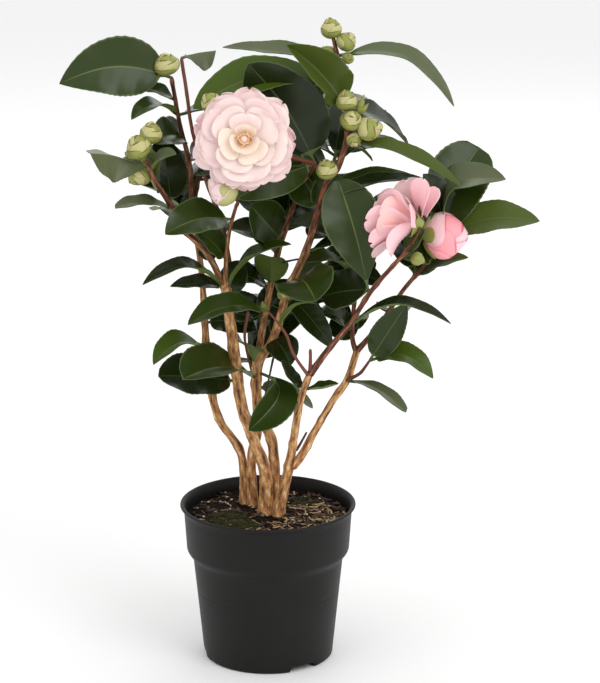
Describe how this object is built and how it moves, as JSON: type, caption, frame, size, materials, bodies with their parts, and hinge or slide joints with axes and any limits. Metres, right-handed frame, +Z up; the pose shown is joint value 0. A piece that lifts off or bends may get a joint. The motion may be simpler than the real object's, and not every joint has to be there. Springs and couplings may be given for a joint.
{
  "type": "camellia shrub in a pot",
  "caption": "Young flowering camellia shrub with open crown, bare lower stems and glossy leaves, growing in a round tapered nursery pot.",
  "frame": {"origin": "centre of the flat underside of the pot", "axes": "+Z up, -Y towards the side that the open bloom faces, +X to the right as seen from that side"},
  "size_m": [0.3934, 0.2462, 0.553],
  "materials": {
    "pot": "charcoal moulded plastic with a faint satin sheen",
    "compost": "damp dark bark compost with pale fibres and a little moss",
    "bark": "tan-brown bark with grey streaks and raised nodes",
    "foliage": "dark green leathery leaves, glossy above and olive below"
  },
  "bodies": {
    "root": {"pot": "pot", "compost": "compost", "stem_main": "bark", "stem_centre": "bark", "stem_left": "bark", "stem_back": "bark", "stem_right": "bark", "bough_left": "bark", "bough_pink_bud": "bark", "bough_side_bloom": "bark", "bough_right": "bark", "bough_half_bloom": "bark", "bough_right_inner": "bark", "bough_back_left": "bark", "bough_back_middle": "bark", "bough_back_right": "bark", "bough_back_low": "bark", "foliage_upper_left": "foliage", "foliage_left_behind": "foliage", "foliage_low_left": "foliage", "foliage_bud_cluster": "foliage", "foliage_left_middle": "foliage", "foliage_main_fork": "foliage", "foliage_main_low": "foliage", "foliage_front_bloom": "foliage", "foliage_inner_left": "foliage", "foliage_top": "foliage", "foliage_right_upper": "foliage", "foliage_middle": "foliage", "foliage_inner_front": "foliage", "foliage_low_front": "foliage", "foliage_low_middle": "foliage", "foliage_middle_right": "foliage", "foliage_side_bloom": "foliage", "foliage_right_tip": "foliage", "foliage_right_inner": "foliage", "foliage_right_low": "foliage", "foliage_left_front": "foliage", "foliage_back_left": "foliage", "foliage_back_middle": "foliage", "foliage_back_right": "foliage", "foliage_back_low": "foliage"}
  },
  "joints": []
}
